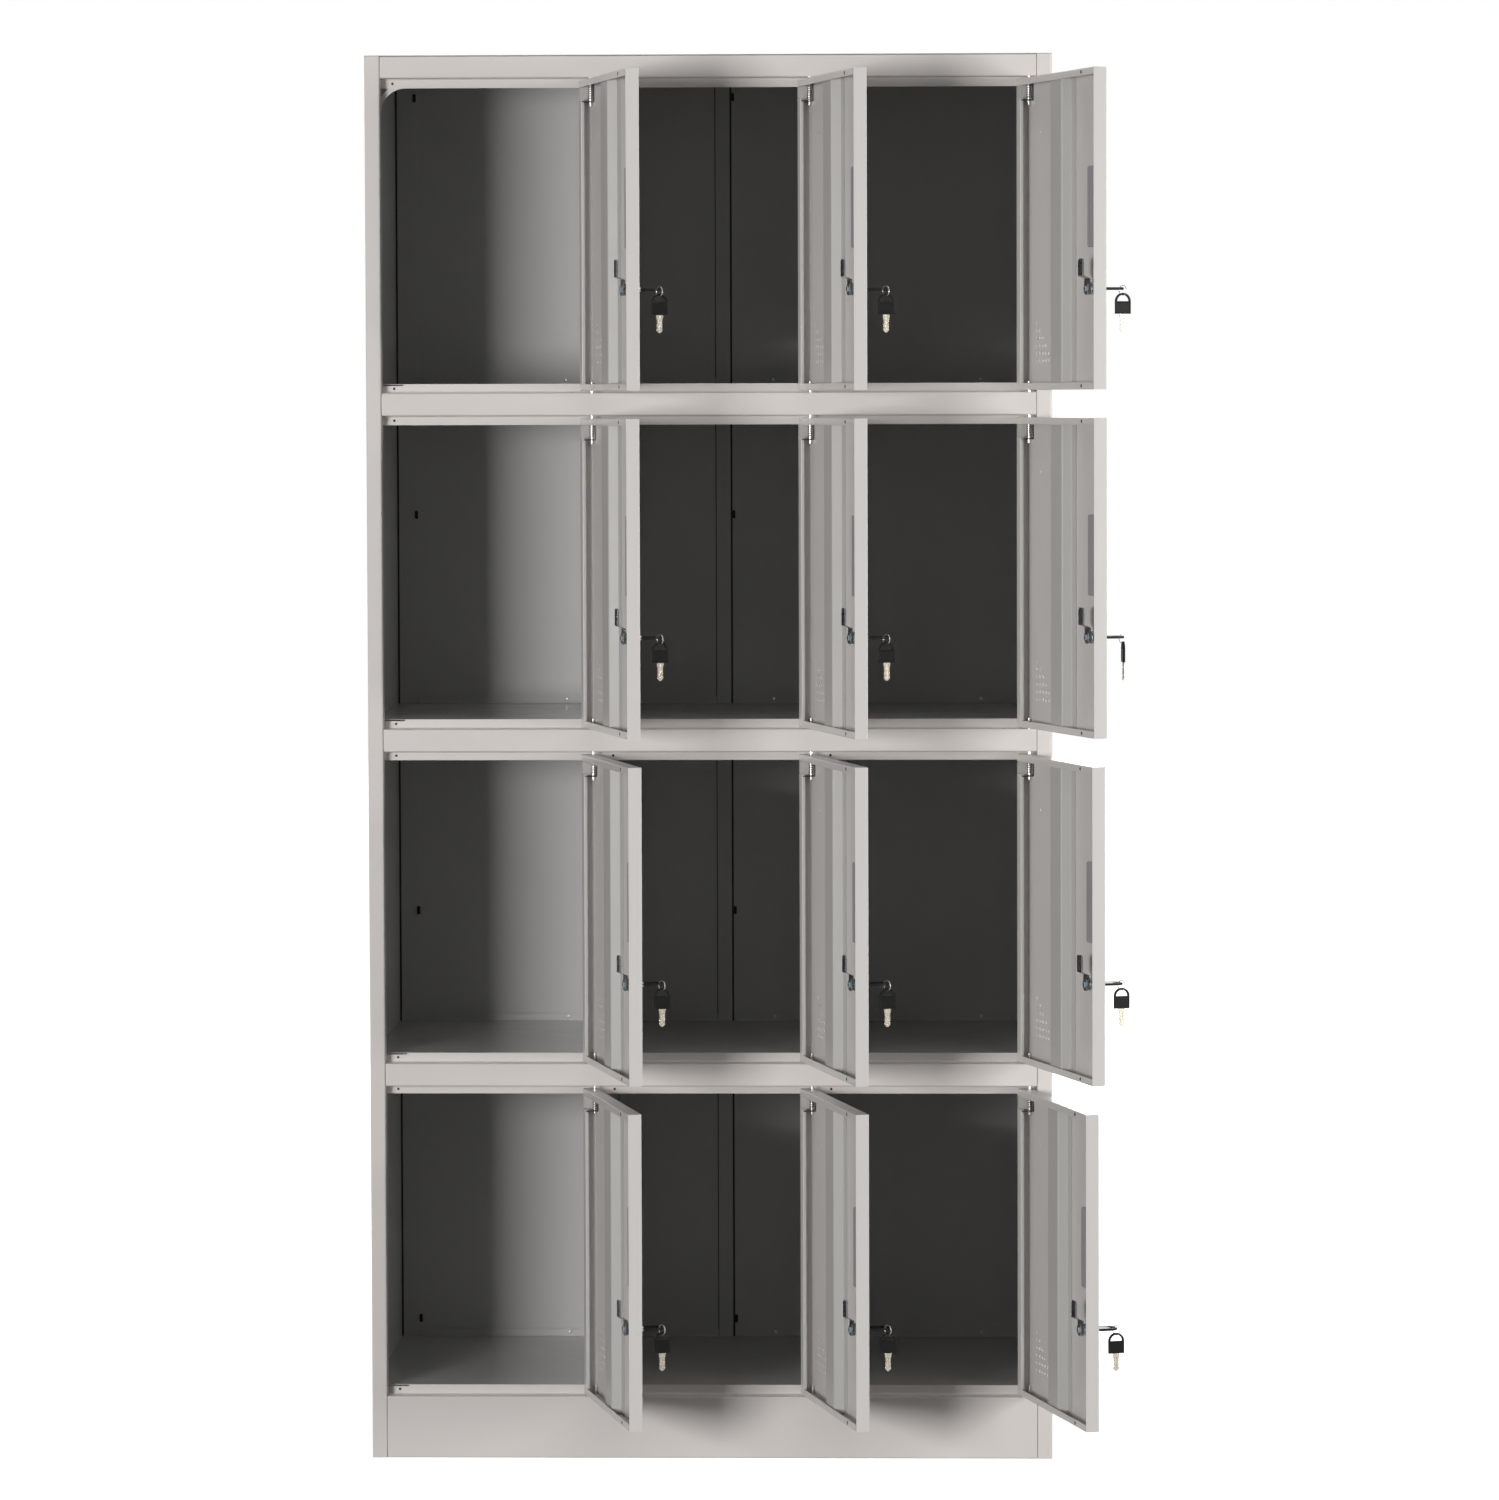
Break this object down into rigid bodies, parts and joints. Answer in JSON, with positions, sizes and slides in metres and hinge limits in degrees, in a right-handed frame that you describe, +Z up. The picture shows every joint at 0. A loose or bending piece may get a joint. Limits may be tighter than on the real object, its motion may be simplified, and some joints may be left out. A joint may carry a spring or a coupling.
{
  "type": "steel locker",
  "caption": "Free-standing painted steel locker with hinged compartment doors, each with a cam lock, an inserted key and a spare key on a ring.",
  "frame": {"origin": "On the floor, on the locker's centre line, in the middle of the front plinth's foot flange", "axes": "+Z up; +X to the locker's right as seen from the front; +Y from the doors into the locker"},
  "size_m": [0.9956, 0.6617, 1.85],
  "materials": {
    "body_paint": "light warm grey powder coat, fine texture, satin",
    "door_paint": "light warm grey powder coat, fine texture, satin",
    "lock_metal": "dark plated cam and plug with a black moulded key head",
    "key_metal": "nickel plated blade and ring with a black moulded bow"
  },
  "bodies": {
    "cabinet": {"left_stile": "body_paint", "right_stile": "body_paint", "top_rail": "body_paint", "middle_rail_1": "body_paint", "middle_rail_2": "body_paint", "middle_rail_3": "body_paint", "front_plinth": "body_paint", "rear_foot": "body_paint", "left_side_panel": "body_paint", "right_side_panel": "body_paint", "top_panel": "body_paint", "bottom_shelf": "body_paint", "shelf_1": "body_paint", "shelf_2": "body_paint", "shelf_3": "body_paint", "divider_post_1": "body_paint", "divider_panel_1": "body_paint", "divider_post_2": "body_paint", "divider_panel_2": "body_paint", "back_panel_left": "body_paint", "back_panel_right": "body_paint", "back_centre_strip": "body_paint"},
    "door_r1c1": {"door_r1c1": "door_paint"},
    "lock_r1c1": {"lock_r1c1": "lock_metal"},
    "spare_key_r1c1": {"spare_key_r1c1": "key_metal"},
    "door_r1c2": {"door_r1c2": "door_paint"},
    "lock_r1c2": {"lock_r1c2": "lock_metal"},
    "spare_key_r1c2": {"spare_key_r1c2": "key_metal"},
    "door_r1c3": {"door_r1c3": "door_paint"},
    "lock_r1c3": {"lock_r1c3": "lock_metal"},
    "spare_key_r1c3": {"spare_key_r1c3": "key_metal"},
    "door_r2c1": {"door_r2c1": "door_paint"},
    "lock_r2c1": {"lock_r2c1": "lock_metal"},
    "spare_key_r2c1": {"spare_key_r2c1": "key_metal"},
    "door_r2c2": {"door_r2c2": "door_paint"},
    "lock_r2c2": {"lock_r2c2": "lock_metal"},
    "spare_key_r2c2": {"spare_key_r2c2": "key_metal"},
    "door_r2c3": {"door_r2c3": "door_paint"},
    "lock_r2c3": {"lock_r2c3": "lock_metal"},
    "spare_key_r2c3": {"spare_key_r2c3": "key_metal"},
    "door_r3c1": {"door_r3c1": "door_paint"},
    "lock_r3c1": {"lock_r3c1": "lock_metal"},
    "spare_key_r3c1": {"spare_key_r3c1": "key_metal"},
    "door_r3c2": {"door_r3c2": "door_paint"},
    "lock_r3c2": {"lock_r3c2": "lock_metal"},
    "spare_key_r3c2": {"spare_key_r3c2": "key_metal"},
    "door_r3c3": {"door_r3c3": "door_paint"},
    "lock_r3c3": {"lock_r3c3": "lock_metal"},
    "spare_key_r3c3": {"spare_key_r3c3": "key_metal"},
    "door_r4c1": {"door_r4c1": "door_paint"},
    "lock_r4c1": {"lock_r4c1": "lock_metal"},
    "spare_key_r4c1": {"spare_key_r4c1": "key_metal"},
    "door_r4c2": {"door_r4c2": "door_paint"},
    "lock_r4c2": {"lock_r4c2": "lock_metal"},
    "spare_key_r4c2": {"spare_key_r4c2": "key_metal"},
    "door_r4c3": {"door_r4c3": "door_paint"},
    "lock_r4c3": {"lock_r4c3": "lock_metal"},
    "spare_key_r4c3": {"spare_key_r4c3": "key_metal"}
  },
  "joints": [
    {"name": "door_r1c1_hinge", "type": "hinge", "parent": "cabinet", "child": "door_r1c1", "pos_m": [-0.15333, -0.0066, 1.4104], "axis": [0, 0, 1], "range_deg": [-105.9, 9.1]},
    {"name": "lock_r1c1_turn", "type": "hinge", "parent": "door_r1c1", "child": "lock_r1c1", "pos_m": [-0.0829, -0.24146, 1.5379], "axis": [0.9617, 0.274, 0], "range_deg": [0, 90]},
    {"name": "spare_key_r1c1_swing", "type": "hinge", "parent": "lock_r1c1", "child": "spare_key_r1c1", "pos_m": [-0.05246, -0.23683, 1.5379], "axis": [0.9617, 0.274, 0], "range_deg": [-20, 20]},
    {"name": "door_r1c2_hinge", "type": "hinge", "parent": "cabinet", "child": "door_r1c2", "pos_m": [0.13333, -0.0066, 1.4104], "axis": [0, 0, 1], "range_deg": [-106.1, 8.9]},
    {"name": "lock_r1c2_turn", "type": "hinge", "parent": "door_r1c2", "child": "lock_r1c2", "pos_m": [0.20459, -0.24121, 1.5379], "axis": [0.9608, 0.2773, 0], "range_deg": [0, 90]},
    {"name": "spare_key_r1c2_swing", "type": "hinge", "parent": "lock_r1c2", "child": "spare_key_r1c2", "pos_m": [0.23501, -0.23648, 1.5379], "axis": [0.9608, 0.2773, 0], "range_deg": [-20, 20]},
    {"name": "door_r1c3_hinge", "type": "hinge", "parent": "cabinet", "child": "door_r1c3", "pos_m": [0.42, -0.0066, 1.4104], "axis": [0, 0, 1], "range_deg": [-109.5, 5.5]},
    {"name": "lock_r1c3_turn", "type": "hinge", "parent": "door_r1c3", "child": "lock_r1c3", "pos_m": [0.50504, -0.23657, 1.5379], "axis": [0.9426, 0.3338, 0], "range_deg": [0, 90]},
    {"name": "spare_key_r1c3_swing", "type": "hinge", "parent": "lock_r1c3", "child": "spare_key_r1c3", "pos_m": [0.53513, -0.23004, 1.5379], "axis": [0.9426, 0.3338, 0], "range_deg": [-20, 20]},
    {"name": "door_r2c1_hinge", "type": "hinge", "parent": "cabinet", "child": "door_r2c1", "pos_m": [-0.15333, -0.0066, 0.9684], "axis": [0, 0, 1], "range_deg": [-105.7, 9.3]},
    {"name": "lock_r2c1_turn", "type": "hinge", "parent": "door_r2c1", "child": "lock_r2c1", "pos_m": [-0.08372, -0.2417, 1.0959], "axis": [0.9627, 0.2706, 0], "range_deg": [0, 90]},
    {"name": "spare_key_r2c1_swing", "type": "hinge", "parent": "lock_r2c1", "child": "spare_key_r2c1", "pos_m": [-0.05327, -0.23718, 1.0959], "axis": [0.9627, 0.2706, 0], "range_deg": [-20, 20]},
    {"name": "door_r2c2_hinge", "type": "hinge", "parent": "cabinet", "child": "door_r2c2", "pos_m": [0.13333, -0.0066, 0.9684], "axis": [0, 0, 1], "range_deg": [-106.1, 8.9]},
    {"name": "lock_r2c2_turn", "type": "hinge", "parent": "door_r2c2", "child": "lock_r2c2", "pos_m": [0.20459, -0.24121, 1.0959], "axis": [0.9608, 0.2773, 0], "range_deg": [0, 90]},
    {"name": "spare_key_r2c2_swing", "type": "hinge", "parent": "lock_r2c2", "child": "spare_key_r2c2", "pos_m": [0.23501, -0.23648, 1.0959], "axis": [0.9608, 0.2773, 0], "range_deg": [-20, 20]},
    {"name": "door_r2c3_hinge", "type": "hinge", "parent": "cabinet", "child": "door_r2c3", "pos_m": [0.42, -0.0066, 0.9684], "axis": [0, 0, 1], "range_deg": [-109.6, 5.4]},
    {"name": "lock_r2c3_turn", "type": "hinge", "parent": "door_r2c3", "child": "lock_r2c3", "pos_m": [0.50544, -0.23642, 1.0959], "axis": [0.9421, 0.3355, 0], "range_deg": [0, 90]},
    {"name": "spare_key_r2c3_swing", "type": "hinge", "parent": "lock_r2c3", "child": "spare_key_r2c3", "pos_m": [0.53552, -0.22984, 1.0959], "axis": [0.9421, 0.3355, 0], "range_deg": [-20, 20]},
    {"name": "door_r3c1_hinge", "type": "hinge", "parent": "cabinet", "child": "door_r3c1", "pos_m": [-0.15333, -0.0066, 0.5264], "axis": [0, 0, 1], "range_deg": [-105.9, 9.1]},
    {"name": "lock_r3c1_turn", "type": "hinge", "parent": "door_r3c1", "child": "lock_r3c1", "pos_m": [-0.0829, -0.24146, 0.6539], "axis": [0.9617, 0.274, 0], "range_deg": [0, 90]},
    {"name": "spare_key_r3c1_swing", "type": "hinge", "parent": "lock_r3c1", "child": "spare_key_r3c1", "pos_m": [-0.05246, -0.23683, 0.6539], "axis": [0.9617, 0.274, 0], "range_deg": [-20, 20]},
    {"name": "door_r3c2_hinge", "type": "hinge", "parent": "cabinet", "child": "door_r3c2", "pos_m": [0.13333, -0.0066, 0.5264], "axis": [0, 0, 1], "range_deg": [-106.1, 8.9]},
    {"name": "lock_r3c2_turn", "type": "hinge", "parent": "door_r3c2", "child": "lock_r3c2", "pos_m": [0.20459, -0.24121, 0.6539], "axis": [0.9608, 0.2773, 0], "range_deg": [0, 90]},
    {"name": "spare_key_r3c2_swing", "type": "hinge", "parent": "lock_r3c2", "child": "spare_key_r3c2", "pos_m": [0.23501, -0.23648, 0.6539], "axis": [0.9608, 0.2773, 0], "range_deg": [-20, 20]},
    {"name": "door_r3c3_hinge", "type": "hinge", "parent": "cabinet", "child": "door_r3c3", "pos_m": [0.42, -0.0066, 0.5264], "axis": [0, 0, 1], "range_deg": [-109.1, 5.9]},
    {"name": "lock_r3c3_turn", "type": "hinge", "parent": "door_r3c3", "child": "lock_r3c3", "pos_m": [0.50344, -0.23716, 0.6539], "axis": [0.9449, 0.3272, 0], "range_deg": [0, 90]},
    {"name": "spare_key_r3c3_swing", "type": "hinge", "parent": "lock_r3c3", "child": "spare_key_r3c3", "pos_m": [0.53356, -0.23084, 0.6539], "axis": [0.9449, 0.3272, 0], "range_deg": [-20, 20]},
    {"name": "door_r4c1_hinge", "type": "hinge", "parent": "cabinet", "child": "door_r4c1", "pos_m": [-0.15333, -0.0066, 0.0844], "axis": [0, 0, 1], "range_deg": [-105.5, 9.5]},
    {"name": "lock_r4c1_turn", "type": "hinge", "parent": "door_r4c1", "child": "lock_r4c1", "pos_m": [-0.08454, -0.24194, 0.2119], "axis": [0.9636, 0.2672, 0], "range_deg": [0, 90]},
    {"name": "spare_key_r4c1_swing", "type": "hinge", "parent": "lock_r4c1", "child": "spare_key_r4c1", "pos_m": [-0.05407, -0.23753, 0.2119], "axis": [0.9636, 0.2672, 0], "range_deg": [-20, 20]},
    {"name": "door_r4c2_hinge", "type": "hinge", "parent": "cabinet", "child": "door_r4c2", "pos_m": [0.13333, -0.0066, 0.0844], "axis": [0, 0, 1], "range_deg": [-106.1, 8.9]},
    {"name": "lock_r4c2_turn", "type": "hinge", "parent": "door_r4c2", "child": "lock_r4c2", "pos_m": [0.20459, -0.24121, 0.2119], "axis": [0.9608, 0.2773, 0], "range_deg": [0, 90]},
    {"name": "spare_key_r4c2_swing", "type": "hinge", "parent": "lock_r4c2", "child": "spare_key_r4c2", "pos_m": [0.23501, -0.23648, 0.2119], "axis": [0.9608, 0.2773, 0], "range_deg": [-20, 20]},
    {"name": "door_r4c3_hinge", "type": "hinge", "parent": "cabinet", "child": "door_r4c3", "pos_m": [0.42, -0.0066, 0.0844], "axis": [0, 0, 1], "range_deg": [-107.3, 7.7]},
    {"name": "lock_r4c3_turn", "type": "hinge", "parent": "door_r4c3", "child": "lock_r4c3", "pos_m": [0.49615, -0.23966, 0.2119], "axis": [0.9548, 0.2974, 0], "range_deg": [0, 90]},
    {"name": "spare_key_r4c3_swing", "type": "hinge", "parent": "lock_r4c3", "child": "spare_key_r4c3", "pos_m": [0.52647, -0.2343, 0.2119], "axis": [0.9548, 0.2974, 0], "range_deg": [-20, 20]}
  ]
}
